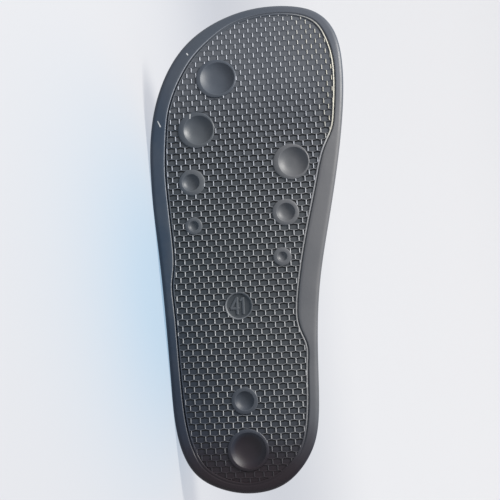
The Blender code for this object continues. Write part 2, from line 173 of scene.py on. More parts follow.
# Strokes of the digits, up the sole and across it from the middle of the disc, in millimetres.
DIGIT_STROKES = (
    ((4.7, -0.9), (-1.1, -4.3)),
    ((-1.4, -4.5), (-1.4, 0.6)),
    ((4.9, -0.9), (-4.6, -0.9)),
    ((4.6, 2.4), (-4.6, 2.4)),
    ((4.4, 2.3), (2.6, 0.8)),
)
DIGIT_HEIGHT = 0.00036
DIGIT_DUST = 0.3

# The brick pattern of the tread.
RELIEF = 0.00068
BRICK_LENGTH = 0.00500
BRICK_ROW = 0.00326
FIRST_ROW_U = 0.1308
ZIGZAG = 0.00026
PIT_DEPTH = 0.0034
FLOOR_INSET = 0.00080
RIDGE_END_INSET = 0.00040
SHORTEST_RIDGE = 0.0008
CLIP_STEP = 0.0001
FLOOR_MESH = 0.0036
FLOOR_HOLE_INSET = 0.0003
LONG_RIDGE_DROP = 0.00012
LONG_RIDGE_TOE_DROP = 0.00036
# The long ridges carry less of the light dust colour than the short ones, partly as painted shade, and less
# again towards the toe.
LONG_RIDGE_DUST_AND_SHADE = 0.62
LONG_RIDGE_TOE_DUST_AND_SHADE = 0.248
# Share of the painted shadow under the long ridges that is left at the toe.
LONG_RIDGE_TOE_PAINTED_SHADOW = 0.2
SHORT_RIDGE_REACH = BRICK_ROW / 2 - ZIGZAG - 0.00010
ROW_HALF_WIDTH = BALL_WIDTH * 0.65
SHORT_RIDGES_A_SIDE = 14

# Shares of the ridges' height that wear leaves at the heel and at the toe, the stretches along the sole over
# which it changes, and how uneven it is.
RIDGE_LEFT_AT_HEEL = 0.42
RIDGE_LEFT_AT_TOE = 0.62
RIDGE_HEEL_FADE = (0.006, 0.028)
RIDGE_TOE_FADE = (0.200, 0.235)
LONG_RIDGE_TOE_FADE = (0.16, 0.23)
UNEVEN_MEAN = 0.97
UNEVEN_SPAN = 0.05
UNEVEN_SCALE = 260

# Cross sections in millimetres.
SHORT_PROFILE = (
    # across the ridge, share of its height, dust: worn dust on the top with a painted highlight on the medial
    # flank, and below zero a painted shadow at the lateral foot
    (-0.38, -0.08, 0.0),
    (-0.29, 0.22, 0.3),
    (-0.21, 0.84, 0.9),
    (-0.13, 1.00, 1.0),
    (0.13, 1.00, 1.0),
    (0.21, 0.84, 0.8),
    (0.30, 0.22, 0.1),
    (0.40, -0.08, -0.4),
)
# Long ridges: below zero, the strip on the floor at their heel side is a painted shadow.
LONG_PROFILE = (
    (-0.98, -0.02, 0.0),
    (-0.85, 0.03, -0.9),
    (-0.28, 0.06, -1.0),
    (-0.19, 0.76, -0.4),
    (-0.10, 1.00, 0.9),
    (0.10, 1.00, 1.0),
    (0.18, 0.80, 0.8),
    (0.29, 0.12, 0.0),
    (0.38, -0.08, 0.0),
)
BORDER_PROFILE = (
    # out from the field's edge, depth and dust on the lateral side, depth and dust on the medial side; the
    # dust columns also paint the lit edges of the groove as highlights and, below zero, its lateral floor as
    # shadow
    (-0.98, 1.06, 0.0, 1.06, 0.0),
    (-0.80, 0.66, 0.0, 0.66, 0.1),
    (-0.66, 0.22, 0.1, 0.22, 0.4),
    (-0.54, 0.12, 0.25, 0.10, 0.6),
    (-0.26, 0.12, 0.32, 0.10, 0.8),
    (-0.10, 0.26, 0.3, 0.20, 1.0),
    (0.08, 0.72, 0.2, 0.46, 1.0),
    (0.22, 1.04, -0.4, 0.64, 0.7),
    (0.38, 1.12, -0.6, 0.72, 0.3),
    (0.54, 1.08, -0.2, 0.66, 0.2),
    (0.70, 0.72, 0.4, 0.46, 0.2),
    (0.88, 0.24, 0.76, 0.22, 0.3),
    (1.00, 0.06, 0.58, 0.08, 0.4),
    (1.16, 0.00, 0.4, 0.00, 0.4),
)
DIGIT_PROFILE = (
    (-0.78, -0.1, 0.0),
    (-0.66, 0.7, 0.8),
    (-0.50, 1.0, 1.0),
    (0.50, 1.0, 1.0),
    (0.66, 0.7, 0.8),
    (0.78, -0.1, 0.0),
)

# Shares of the groove and of the dust and painted highlight beside it that are left where they fade out along
# the sole.
GROOVE_LEFT_AT_HEEL = 0.15
GROOVE_LEFT_AT_TOE = 0.55
BORDER_DUST_AND_HIGHLIGHT_LEFT = 0.38
GROOVE_HEEL_FADE = (0.014, 0.040)
GROOVE_TOE_FADE = (0.242, 0.258)
BORDER_DUST_AND_HIGHLIGHT_FADE = (0.176, 0.202)

RIM_DUST = 0.4
RIM_SLOPE = 0.07
RIM_SLOPE_LIMIT = 1.2
RIM_CURVE_POWER = 1.4
WIDE_RIM = 0.0060
SEAT_EDGE_RADIUS = 0.0005
BED_RING_SHARES = (0.6, 0.3)

# The footbed and the line pressed into it, as shares of the way from its middle to its edge.
INSOLE_STEPS = 22
INSOLE_LINE_SHARE = 0.90
INSOLE_LINE_ROWS = (-0.012, -0.006, 0.0, 0.006, 0.012)
INSOLE_LINE_REACH = 0.008
INSOLE_LINE_DEPTH = 0.0004
INSOLE_LAST_SHARE = 0.97
INSOLE_EDGE_RADIUS = 0.0010
INSOLE_EDGE_STEPS = 4

# Distances of the band's first rows from its edge in millimetres, then the number of even ones between them.
CLOSE_ROWS = (0.0, 0.06, 0.22, 0.46, 0.76, 1.12, 1.5, 2.5, 3.5, 4.2, 4.6, 5.0, 5.4, 5.8, 6.5, 8.0)
EVEN_ROWS = 30
LEG_STEPS = 4
SWELL_STEPS = 12
ARCH_STEPS = 34
CUTTER_STRIDE = 3
CUTTER_CLOSE_ROWS = 7
STRAP_EDGE_SHARE = 0.72
SEAM_INSET = 0.0050
SEAM_WIDTH = 0.0009
SEAM_DEPTH = 0.00040
STITCH_LENGTH = 0.0027
STITCH_PITCH = 0.0036
STITCH_RADIUS = 0.00030
STITCH_LIFT_SHARE = 0.35
STITCH_SIDES = 8
STITCH_SECTIONS = (
    # share of the length, share of the radius, rise in radii
    (-0.02, 0.45, -0.6),
    (0.10, 0.85, -0.1),
    (0.35, 1.0, 0.25),
    (0.65, 1.0, 0.25),
    (0.90, 0.85, -0.1),
    (1.02, 0.45, -0.6),
)

STATIONS = 300
EDGE_STEPS = 7
LIP_STEPS = 6
RIM_STEPS = 5
WALL_STEPS = 6
DISH_SIDES = 72
BOWL_STEPS = 14
BOWL_POWER = 3.0

# Colours of the moulded foam: its tops and its hollows, from side to side and at the toe, where the darker
# bluer lateral side, the lighter medial side and the lighter floor at the toe are painted shade, light and
# blue reflection; then painted shadow, dust, dirt and painted shade.
# Painted shade and painted blue reflection on the lateral side, painted light on the medial side.
FOAM_LATERAL = (0.015, 0.028, 0.049)
FOAM_MIDDLE = (0.042, 0.048, 0.056)
FOAM_MEDIAL = (0.070, 0.071, 0.077)
FOAM_PALE = (0.088, 0.088, 0.092)
FOAM_TOE = (0.024, 0.032, 0.047)
# The floor's tones: painted shade on the lateral side and painted light at the toe.
DEEP_LATERAL = (0.021, 0.026, 0.031)
DEEP_MEDIAL = (0.035, 0.039, 0.044)
FOAM_TOE_DEEP = (0.048, 0.053, 0.063)
# Painted shadow, mixed into the floor where the attribute is below zero: under the long ridges, beside the
# short ones, in the lateral groove and on the disc's floor.
PAINTED_SHADOW = (0.0015, 0.0015, 0.0022)
WORN_REAR = (0.380, 0.383, 0.388)
WORN_FRONT = (0.355, 0.371, 0.412)
TOE_DUST = (0.40, 0.385, 0.325)
# Dirt at the heel, partly a painted shade that darkens the sole towards the heel.
HEEL_DIRT_AND_SHADE = (0.0085, 0.0038, 0.0056)
# Painted shade towards the lateral heel.
REAR_SHADE = (0.006, 0.010, 0.022)
SCUFF = (0.36, 0.37, 0.38)

# Dark and light colours of the other materials.
FOOTBED_COLOURS = (0.032, 0.033, 0.036), (0.052, 0.053, 0.056)
BAND_COLOURS = (0.030, 0.031, 0.034), (0.046, 0.047, 0.050)
LINING_COLOURS = (0.028, 0.029, 0.031), (0.060, 0.061, 0.064)
THREAD_COLOURS = (0.05, 0.05, 0.053), (0.11, 0.11, 0.115)

# Light marks on the tread side: start and end along and across the sole, and width, in millimetres.
SCUFFS = (
    (203.4, -42.0, 200.3, -40.6, 0.50),
    (206.2, -23.8, 202.4, -24.0, 0.34),
    (242.2, -24.8, 241.2, -24.2, 0.45),
)

# The camera and the key light in the sandal's axes, and the stage.
PHOTO_PIXELS = 500
FOCAL_PIXELS = 800
CAMERA_PLACE = (0.0865, 0.0328, -0.4296)
CAMERA_LOOK = (0.0986, -0.0624, 0.9932)
CAMERA_UP = (0.9940, 0.0534, -0.0953)
KEY_PLACE = (0.62, 0.80, -0.42)
KEY_TARGET = (0.135, 0.0, 0.0)
KEY_SIZE = 0.42
KEY_POWER = 30.5
KEY_COLOUR = (1.0, 0.97, 0.92)
SKY_COLOUR = (0.53, 0.75, 1.0, 1.0)
SKY_STRENGTH = 0.42
FLOOR_COLOUR = (0.075, 0.073, 0.068)
FLOOR_GLOW = (0.555, 0.570, 0.620)
# A bluish painted shadow in the floor's glow near the sandal: its colour, its middle in the sandal's axes and
# its reach.
NEAR_PAINTED_SHADOW = (0.345, 0.495, 0.650)
NEAR_PLACE = (0.105, -0.047, 0.0)
NEAR_REACH = (0.125, 0.30)
BACKDROP_COLOUR = (0.42, 0.425, 0.435)
BACKDROP_GLOW = (0.565, 0.545, 0.535)
WALL_GLOW = (0.30, 0.31, 0.33)
STAGE_RADIUS = 2.4
STAGE_BEND = 0.8
STAGE_HEIGHT = 1.3
STAGE_BEND_STEPS = 12
STAGE_SIDES = 96

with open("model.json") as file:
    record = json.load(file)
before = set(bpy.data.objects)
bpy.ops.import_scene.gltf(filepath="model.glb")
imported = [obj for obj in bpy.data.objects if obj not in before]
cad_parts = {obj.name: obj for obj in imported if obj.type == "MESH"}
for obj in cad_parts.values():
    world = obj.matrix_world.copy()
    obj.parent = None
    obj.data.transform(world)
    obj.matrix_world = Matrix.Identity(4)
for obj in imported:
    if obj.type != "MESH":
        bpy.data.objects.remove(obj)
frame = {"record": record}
cad_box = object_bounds()


def shoe_axes(record):
    """The origin and the three axes of the sandal, read from its mounts."""
    mounts = {m["name"]: m for m in record["mounts"]}
    heel = Vector(mounts["tread_heel"]["pos_m"])
    ball = Vector(mounts["tread_ball"]["pos_m"])
    up = -Vector(mounts["tread_heel"]["axis"]).normalized()
    toe = (ball - heel).normalized()
    medial = up.cross(toe).normalized()
    toe = medial.cross(up)
    origin = heel - toe * HEEL_MOUNT_X
    return np.array(origin), np.array([toe, medial, up])


ORIGIN, AXES = shoe_axes(frame["record"])


def to_row(points):
    """Points in the sandal's axes, moved to the frame's."""
    return np.asarray(points) @ AXES + ORIGIN


def spline(knots, values, at):
    """A natural cubic spline through the values, read at the given places."""
    x = np.asarray(knots, float)
    y = np.asarray(values, float)
    h = np.diff(x)
    slopes = np.diff(y) / h
    system = np.eye(len(x))
    right = np.zeros(len(x))
    for i in range(1, len(x) - 1):
        system[i, i - 1 : i + 2] = h[i - 1], 2 * (h[i - 1] + h[i]), h[i]
        right[i] = 6 * (slopes[i] - slopes[i - 1])
    bend = np.linalg.solve(system, right)
    at = np.asarray(at, float)
    i = np.clip(np.searchsorted(x, at) - 1, 0, len(h) - 1)
    a = (x[i + 1] - at) / h[i]
    b = (at - x[i]) / h[i]
    return a * y[i] + b * y[i + 1] + ((a**3 - a) * bend[i] + (b**3 - b) * bend[i + 1]) * h[i] ** 2 / 6


def smooth(share):
    return share * share * (3 - 2 * share)


def fade(value, stretch, start, end):
    """A soft change from start to end while the value runs through a stretch."""
    low, high = stretch
    return start + (end - start) * smooth(np.clip((value - low) / (high - low), 0, 1))


class ClosedCurve:
    """A smooth closed outline through a heel tip, a toe tip and a table for each side."""

    def __init__(self, heel_tip, lateral, toe_tip, medial):
        self.start = heel_tip[0]
        self.span = toe_tip[0] - heel_tip[0]
        rows = [(0.0, heel_tip[1])]
        rows += [(float(self.turn(along)), across) for along, across in lateral]
        rows += [(math.pi, toe_tip[1])]
        rows += [(2 * math.pi - float(self.turn(along)), across) for along, across in reversed(medial)]
        wrapped = rows[-6:], rows, rows[:6]
        self.knots = [turn + 2 * math.pi * k for k, part in zip((-1, 0, 1), wrapped) for turn, _ in part]
        self.values = [across for part in wrapped for _, across in part]

    def turn(self, along):
        return np.arccos(1 - 2 * np.clip((np.asarray(along) - self.start) / self.span, 0, 1))

    def points(self, turns):
        along = self.start + self.span * (1 - np.cos(turns)) / 2
        across = spline(self.knots, self.values, turns % (2 * math.pi))
        return np.stack([along * SOLE_LENGTH, across * BALL_WIDTH], axis=1)

    def offset(self, turns, distance):
        """The outline moved outwards by a distance, inwards where it is negative."""
        step = 1e-3
        tangent = self.points(turns + step) - self.points(turns - step)
        outward = np.stack([tangent[:, 1], -tangent[:, 0]], axis=1)
        outward /= np.linalg.norm(outward, axis=1)[:, None]
        return self.points(turns) + outward * np.reshape(distance, (-1, 1))

    def edge(self, x, medial):
        """Across position of one side at a place along the sole."""
        turn = self.turn(np.asarray(x) / SOLE_LENGTH)
        return spline(self.knots, self.values, 2 * math.pi - turn if medial else turn) * BALL_WIDTH


outline = ClosedCurve(HEEL_TIP_SHARES, LATERAL_OUTLINE_SHARES, TOE_TIP_SHARES, MEDIAL_OUTLINE_SHARES)
field = ClosedCurve(FIELD_HEEL_SHARES, LATERAL_FIELD_SHARES, FIELD_TOE_SHARES, MEDIAL_FIELD_SHARES)
TURNS = np.arange(2 * STATIONS) * math.pi / STATIONS
TOE_BEND_X = SOLE_LENGTH - TOE_SPRING_START


def tread(x):
    """Height of the bottom surface at a place along the sole."""
    x = np.asarray(x, float)
    ahead = np.clip(x - TOE_BEND_X, 0, None)
    behind = np.clip(HEEL_SPRING_START - x, 0, None)
    toe = TOE_SPRING_RADIUS - np.sqrt(TOE_SPRING_RADIUS**2 - ahead**2)
    heel = HEEL_SPRING_RADIUS - np.sqrt(HEEL_SPRING_RADIUS**2 - behind**2)
    return toe + heel


def past_bends(value, bend):
    """A place on the flat part, and beyond it what a function makes of the angles of the bends."""
    value = np.asarray(value, float)
    ahead = TOE_SPRING_RADIUS * bend(np.clip(value - TOE_BEND_X, 0, None) / TOE_SPRING_RADIUS)
    behind = HEEL_SPRING_RADIUS * bend(np.clip(HEEL_SPRING_START - value, 0, None) / HEEL_SPRING_RADIUS)
    return np.clip(value, HEEL_SPRING_START, TOE_BEND_X) + ahead - behind


def u_of(x):
    """Arc length along the bottom surface, equal to x on its flat part."""
    return past_bends(x, np.arcsin)


def x_of(u):
    return past_bends(u, np.sin)


def on_tread(points):
    """(u, v, depth) points bent onto the bottom surface, in the sandal's axes."""
    u, v, depth = np.asarray(points, float).T
    toe = np.clip(u - TOE_BEND_X, 0, None) / TOE_SPRING_RADIUS
    heel = np.clip(HEEL_SPRING_START - u, 0, None) / HEEL_SPRING_RADIUS
    x = np.clip(u, HEEL_SPRING_START, TOE_BEND_X)
    x = x + (TOE_SPRING_RADIUS - depth) * np.sin(toe) - (HEEL_SPRING_RADIUS - depth) * np.sin(heel)
    z = depth * (np.cos(toe) + np.cos(heel) - 1)
    z = z + TOE_SPRING_RADIUS * (1 - np.cos(toe)) + HEEL_SPRING_RADIUS * (1 - np.cos(heel))
    return np.stack([x, v, z], axis=1)


class Shape:
    """Points and faces that are gathered before they become a mesh."""

    def __init__(self):
        self.points = []
        self.faces = []
        self.dust_and_painted_light = []
        self.count = 0

    def add(self, points, faces, dust_and_painted_light=0.0):
        """Adds points in the sandal's axes, with faces that count from the first of them."""
        points = np.asarray(points, float)
        self.faces += [tuple(i + self.count for i in face) for face in faces]
        self.points.append(points)
        self.dust_and_painted_light.append(np.broadcast_to(np.asarray(dust_and_painted_light, float), len(points)))
        self.count += len(points)


def ring_faces(rows, count, closed=True):
    """Quads between successive rows of points."""
    faces = []
    last = count if closed else count - 1
    for r in range(rows - 1):
        low, high = r * count, (r + 1) * count
        for i in range(last):
            j = (i + 1) % count
            faces.append((low + i, low + j, high + j, high + i))
    return faces


def strip_faces(base, count):
    """Closes a loop of points by strips from its lateral to its medial side."""
    half = count // 2
    faces = [(base, base + 1, base + count - 1)]
    for i in range(1, half - 1):
        faces.append((base + i, base + i + 1, base + count - i - 1, base + count - i))
    faces.append((base + half - 1, base + half, base + half + 1))
    return faces


def capped_faces(rows, count):
    """Quads between rows of points, with the first and the last row closed."""
    return ring_faces(rows, count) + strip_faces(0, count) + strip_faces((rows - 1) * count, count)


def add_object(name, data):
    made = bpy.data.objects.new(name, data)
    bpy.context.scene.collection.objects.link(made)
    return made


def make_piece(name, shape, materials, smooth_angle, inward=None):
    """A mesh object in the frame's axes that keeps the sandal's axes as an attribute."""
    points = np.concatenate(shape.points)
    mesh = bpy.data.meshes.new(name)
    mesh.from_pydata(to_row(points).tolist(), [], shape.faces)
    place = mesh.attributes.new("shoe", "FLOAT_VECTOR", "POINT")
    place.data.foreach_set("vector", points.astype(np.float32).ravel())
    # This attribute holds worn dust, and also painted highlights and, below zero, painted shadows.
    dust_and_painted_light = mesh.attributes.new("dust_and_painted_light", "FLOAT", "POINT")
    dust_and_painted_light.data.foreach_set("value", np.concatenate(shape.dust_and_painted_light).astype(np.float32))
    work = bmesh.new()
    work.from_mesh(mesh)
    bmesh.ops.recalc_face_normals(work, faces=work.faces)
    if inward is not None:
        turned = [f for f in work.faces if f.normal.dot(inward) > 0]
        bmesh.ops.reverse_faces(work, faces=turned)
    work.to_mesh(mesh)
    work.free()
    mesh.shade_smooth()
    mesh.set_sharp_from_angle(angle=math.radians(smooth_angle))
    for material in materials:
        mesh.materials.append(material)
    obj = add_object(name, mesh)
    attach(obj, "root")
    return obj


def side_column(x, column):
    rows = np.array(SIDE_HEIGHT_SHARES)
    return spline(rows[:, 0], rows[:, column], np.asarray(x) / SOLE_LENGTH) * HEEL_HEIGHT


def lip_height(points):
    """Height of the lip round the footbed, blended from the lateral to the medial wall."""
    x, y = points[:, 0], points[:, 1]
    low, high = outline.edge(x, False), outline.edge(x, True)
    share = np.clip((y - low) / np.maximum(high - low, 1e-6), 0, 1)
    blend = smooth(share)
    return tread(x) + side_column(x, 1) * (1 - blend) + side_column(x, 2) * blend


def pocket_inset():
    return WALL_TAPER + POCKET_WALL + CLEARANCE + STRAP_THICKNESS / 2


def lip_inset():
    return pocket_inset() + STRAP_THICKNESS / 2 + CLEARANCE + POCKET_WALL


def ring(points, heights):
    return np.column_stack([points, np.broadcast_to(heights, len(points))])


def bowl(edge_loop, share):
    """A loop drawn in from the footbed's edge to its middle line."""
    count = len(edge_loop)
    middle = (edge_loop + edge_loop[-np.arange(count)]) / 2
    heel_to_toe = middle[: count // 2 + 1]
    centre = SOLE_LENGTH / 2
    spine_x = centre + (middle[:, 0] - centre) * SPINE_SHARE
    spine_y = np.interp(spine_x, heel_to_toe[:, 0], heel_to_toe[:, 1])
    spine = np.stack([spine_x, spine_y], axis=1)
    return spine + (edge_loop - spine) * share


def bed_height(points, share):
    hollow = side_column(points[:, 0], 3) * (1 - share**HOLLOW_CURVE_POWER)
    return lip_height(points) - INSOLE_DROP - hollow


def border_ring(away, depth, dust_and_painted_light, medial_depth, medial_dust_and_painted_light):
    """A loop round the field at a distance from its edge, and the dusting, painted highlight and painted
    shadow on it, wearing away towards the heel.
    """
    loop = field.offset(TURNS, away * MM)
    x = loop[:, 0]
    medial = smooth(np.clip(0.5 - 1.5 * np.sin(TURNS), 0, 1))
    left = fade(x, GROOVE_HEEL_FADE, GROOVE_LEFT_AT_HEEL, 1) * fade(x, GROOVE_TOE_FADE, 1, GROOVE_LEFT_AT_TOE)
    dust_and_highlight_left = fade(x, BORDER_DUST_AND_HIGHLIGHT_FADE, BORDER_DUST_AND_HIGHLIGHT_LEFT, 1)
    # The medial edge's dust and painted highlight fade towards the heel.
    medial_dust_and_painted_light = np.where(medial_dust_and_painted_light > RIM_DUST, RIM_DUST + (medial_dust_and_painted_light - RIM_DUST) * dust_and_highlight_left, medial_dust_and_painted_light)
    depths = (depth + (medial_depth - depth) * medial) * left * MM
    wear_and_painted_light = RIM_DUST + (dust_and_painted_light + (medial_dust_and_painted_light - dust_and_painted_light) * medial - RIM_DUST) * left
    return on_tread(np.column_stack([u_of(x), loop[:, 1], depths])), wear_and_painted_light


def quarter(steps, lean=0.0):
    """(inset, height) pairs of a rounded edge, both from 0 to 1, that starts at an angle and ends upright."""
    angles = [lean + (math.pi / 2 - lean) * k / steps for k in range(steps + 1)]
    wide, high = 1 - np.sin(lean), np.cos(lean)
    return [((1 - np.sin(angle)) / wide, 1 - np.cos(angle) / high) for angle in angles]


def sole_rings():
    """Loops of the sole from the pit under the tread's floor, round the outside and into the seat."""
    pit = field.offset(TURNS, BORDER_PROFILE[0][0] * MM)
    yield on_tread(np.column_stack([u_of(pit[:, 0]), pit[:, 1], np.full(len(pit), PIT_DEPTH)])), 0.0
    for row in BORDER_PROFILE:
        yield border_ring(*row)
    inner = field.offset(TURNS, BORDER_PROFILE[-1][0] * MM)
    outer = outline.offset(TURNS, -EDGE_RADIUS)
    width = np.linalg.norm(outer - inner, axis=1)
    slope = RIM_SLOPE * np.minimum(width / WIDE_RIM, RIM_SLOPE_LIMIT)
    fall = slope * width
    for k in range(1, RIM_STEPS):
        loop = inner + (outer - inner) * k / RIM_STEPS
        yield ring(loop, tread(loop[:, 0]) + fall * (k / RIM_STEPS) ** RIM_CURVE_POWER), RIM_DUST
    for inset, height in quarter(EDGE_STEPS, slope * RIM_CURVE_POWER):
        loop = outline.offset(TURNS, -EDGE_RADIUS * inset)
        yield ring(loop, tread(loop[:, 0]) + fall + (EDGE_RADIUS - fall) * height), RIM_DUST
    foot = outline.offset(TURNS, 0)
    head = outline.offset(TURNS, -WALL_TAPER)
    foot_z = tread(foot[:, 0]) + EDGE_RADIUS
    head_z = lip_height(head) - LIP_RADIUS
    for k in range(1, WALL_STEPS):
        share = k / WALL_STEPS
        yield np.column_stack([foot + (head - foot) * share, foot_z + (head_z - foot_z) * share]), RIM_DUST
    for drop, inset in quarter(LIP_STEPS):
        loop = outline.offset(TURNS, -(WALL_TAPER + LIP_RADIUS * inset))
        yield ring(loop, lip_height(loop) - LIP_RADIUS * drop), RIM_DUST
    for back, drop in ((SEAT_EDGE_RADIUS, 0.0), (0.0, SEAT_EDGE_RADIUS)):
        loop = outline.offset(TURNS, -(lip_inset() - back))
        yield ring(loop, lip_height(loop) - drop), 0.0
    seat = outline.offset(TURNS, -lip_inset())
    for share in (1.0, *BED_RING_SHARES):
        loop = bowl(seat, share)
        yield ring(loop, bed_height(loop, share) - INSOLE_THICKNESS - CLEARANCE), 0.0


def sole_shape():
    shape = Shape()
    rings = list(sole_rings())
    count = len(TURNS)
    points = np.concatenate([loop for loop, _ in rings])
    dust_and_painted_light = np.concatenate([np.broadcast_to(value, count) for _, value in rings])
    shape.add(points, capped_faces(len(rings), count), dust_and_painted_light)
    return shape


def discs():
    """(u, v, outer radius) of every round part that the brick pattern runs up to."""
    found = [(along * SOLE_LENGTH, across * BALL_WIDTH, edge * MM) for along, across, edge, *_ in DISHES]
    found.append((DISC_ALONG_SHARE * SOLE_LENGTH, DISC_ACROSS_SHARE * BALL_WIDTH, DISC_RADIUS + DISC_BORDER))
    return [(float(u_of(x)), y, radius) for x, y, radius in found]


DISCS = discs()


def room_at(u, v):
    """How far a place lies inside the brick pattern: negative outside the field or within a round part."""
    x = x_of(u)
    room = np.minimum(v - field.edge(x, False), field.edge(x, True) - v)
    low, high = (tip[0] * SOLE_LENGTH for tip in (FIELD_HEEL_SHARES, FIELD_TOE_SHARES))
    room = np.minimum(room, np.minimum(x - low, high - x)) - RIDGE_END_INSET
    for centre_u, centre_v, radius in DISCS:
        room = np.minimum(room, np.hypot(u - centre_u, v - centre_v) - radius + RIDGE_END_INSET)
    return room


def clipped(start, end):
    """The stretches of a straight line of the pattern that lie in the open field."""
    length = math.dist(start, end)
    share = np.linspace(0, 1, max(2, int(length / CLIP_STEP)))
    u = start[0] + (end[0] - start[0]) * share
    v = start[1] + (end[1] - start[1]) * share
    inside = np.concatenate([[False], room_at(u, v) > 0, [False]])
    changes = np.flatnonzero(np.diff(inside.astype(int)))
    for first, last in zip(changes[::2], changes[1::2] - 1):
        if (last - first) * CLIP_STEP > SHORTEST_RIDGE:
            yield (u[first], v[first]), (u[last], v[last])


def wear(u, v):
    """Share of the ridges' height that is left: less at the very heel and at the toe, and uneven."""
    heel = fade(u, RIDGE_HEEL_FADE, RIDGE_LEFT_AT_HEEL, 1)
    toe = fade(u, RIDGE_TOE_FADE, 1, RIDGE_LEFT_AT_TOE)
    return heel * toe * (UNEVEN_MEAN + UNEVEN_SPAN * noise.noise(Vector((u, v, 0)) * UNEVEN_SCALE))


def add_ridge(shape, places, drop, profile=SHORT_PROFILE, floor=RELIEF, height=RELIEF, dust_and_painted_light=1.0, painted_shadow_share=1.0):
    """A ridge through places in a line, its top this much below the tread surface."""
    places = np.array(places)
    run = places[-1] - places[0]
    along = run / np.linalg.norm(run)
    side = np.array([along[1], -along[0]])
    rows = []
    wear_and_painted_light = []
    for centre in places:
        top = (height - drop) * wear(*centre)
        for across, rise, share in profile:
            place = centre + side * across * MM
            rows.append((*place, floor - top * rise))
            # Below zero the profile's third column is a painted shadow, scaled by the last argument.
            wear_and_painted_light.append(share * (dust_and_painted_light if share > 0 else painted_shadow_share))
    shape.add(on_tread(rows), ring_faces(len(places), len(profile), closed=False), wear_and_painted_light)


def zigzag(v, shift):
    """How far a long ridge bends towards the heel, at its lowest where a short ridge meets it from below."""
    phase = abs((v / BRICK_LENGTH - shift) % 1 - 0.5) * 2
    return ZIGZAG * (1 - 2 * phase)


def add_bricks(shape):
    """Slightly zigzag ridges across the sole, and short ones between them that stagger from row to row."""
    first = math.floor((u_of(0.0) - FIRST_ROW_U) / BRICK_ROW)
    last = math.ceil((u_of(SOLE_LENGTH) - FIRST_ROW_U) / BRICK_ROW)
    bend = BRICK_LENGTH / 2
    for row in range(first, last + 1):
        middle = FIRST_ROW_U + BRICK_ROW * row
        above = middle + BRICK_ROW / 2
        shift = 0.5 if row % 2 else 0.0
        drop = fade(above, LONG_RIDGE_TOE_FADE, LONG_RIDGE_DROP, LONG_RIDGE_TOE_DROP)
        # Less of the light dust colour on the long ridges, partly as painted shade.
        dust_and_painted_light = fade(above, LONG_RIDGE_TOE_FADE, LONG_RIDGE_DUST_AND_SHADE, LONG_RIDGE_TOE_DUST_AND_SHADE)
        # Less painted shadow under the long ridges towards the toe.
        painted_shadow_share = fade(above, LONG_RIDGE_TOE_FADE, 1, LONG_RIDGE_TOE_PAINTED_SHADOW)
        for (_, start), (_, end) in clipped((above, -ROW_HALF_WIDTH), (above, ROW_HALF_WIDTH)):
            bends = [bend * k for k in range(math.ceil(start / bend), math.ceil(end / bend))]
            stops = [start, *(v for v in bends if start + CLIP_STEP < v < end - CLIP_STEP), end]
            places = [(above + zigzag(v, shift), v) for v in stops]
            add_ridge(shape, places, drop, LONG_PROFILE, dust_and_painted_light=dust_and_painted_light, painted_shadow_share=painted_shadow_share)
        for k in range(-SHORT_RIDGES_A_SIDE, SHORT_RIDGES_A_SIDE + 1):
            v = BRICK_LENGTH * (k + shift)
            for start, end in clipped((middle - SHORT_RIDGE_REACH, v), (middle + SHORT_RIDGE_REACH, v)):
                add_ridge(shape, [start, end], 0.0)


def add_floor(shape):
    """The floor of the pattern, with round holes for the dishes and the disc."""
    edge = field.offset(TURNS[::2], -FLOOR_INSET)
    loops = [[(float(u_of(x)) / MM, float(y) / MM) for x, y in edge]]
    for centre_u, centre_v, radius in DISCS:
        angles = [2 * math.pi * k / DISH_SIDES for k in range(DISH_SIDES)]
        hole = radius - FLOOR_HOLE_INSET
        circle = [(centre_u + hole * math.cos(a), centre_v + hole * math.sin(a)) for a in angles]
        loops.append([(u / MM, v / MM) for u, v in circle])
    points, edges = [], []
    for loop in loops:
        base = len(points)
        points += [Vector(p) for p in loop]
        edges += [(base + i, base + (i + 1) % len(loop)) for i in range(len(loop))]
    for u in np.arange(0, float(u_of(SOLE_LENGTH)), FLOOR_MESH):
        for v in np.arange(-BALL_WIDTH / 2, BALL_WIDTH * 0.6, FLOOR_MESH):
            if room_at(np.array([u]), np.array([v]))[0] > FLOOR_MESH / 3:
                points.append(Vector((u / MM, v / MM)))
    places, _, triangles, *_ = delaunay_2d_cdt(points, edges, [], 0, 1e-4)
    places = np.array(places) * MM
    kept = []
    for triangle in triangles:
        u, v = places[list(triangle)].mean(axis=0)
        x = float(x_of(u))
        in_field = field.edge(x, False) + FLOOR_INSET < v < field.edge(x, True) - FLOOR_INSET
        in_hole = any(math.hypot(u - cu, v - cv) < radius - FLOOR_HOLE_INSET for cu, cv, radius in DISCS)
        if in_field and not in_hole:
            kept.append(tuple(triangle))
    shape.add(on_tread(np.column_stack([places, np.full(len(places), RELIEF)])), kept)


def add_turned(shape, u, v, rings, shift=0.0, first=0):
    """Rings of (radius, depth, dusting and painted light) in millimetres, closed at the middle and shifted
    from the first on.
    """
    angles = np.arange(DISH_SIDES) * 2 * math.pi / DISH_SIDES
    rows = []
    for k, (radius, depth, _) in enumerate(rings):
        middle = v + (shift * MM if k >= first else 0.0)
        circle = [(radius * MM * math.cos(a), radius * MM * math.sin(a)) for a in angles]
        rows += [(u + along, middle + across, depth * MM) for along, across in circle]
    rows.append((u, v + shift * MM, rings[-1][1] * MM))
    faces = ring_faces(len(rings), DISH_SIDES)
    base = (len(rings) - 1) * DISH_SIDES
    faces += [(base + i, base + (i + 1) % DISH_SIDES, len(rows) - 1) for i in range(DISH_SIDES)]
    shape.add(on_tread(rows), faces, [*np.repeat([dust_and_painted_light for _, _, dust_and_painted_light in rings], DISH_SIDES), 0.0])


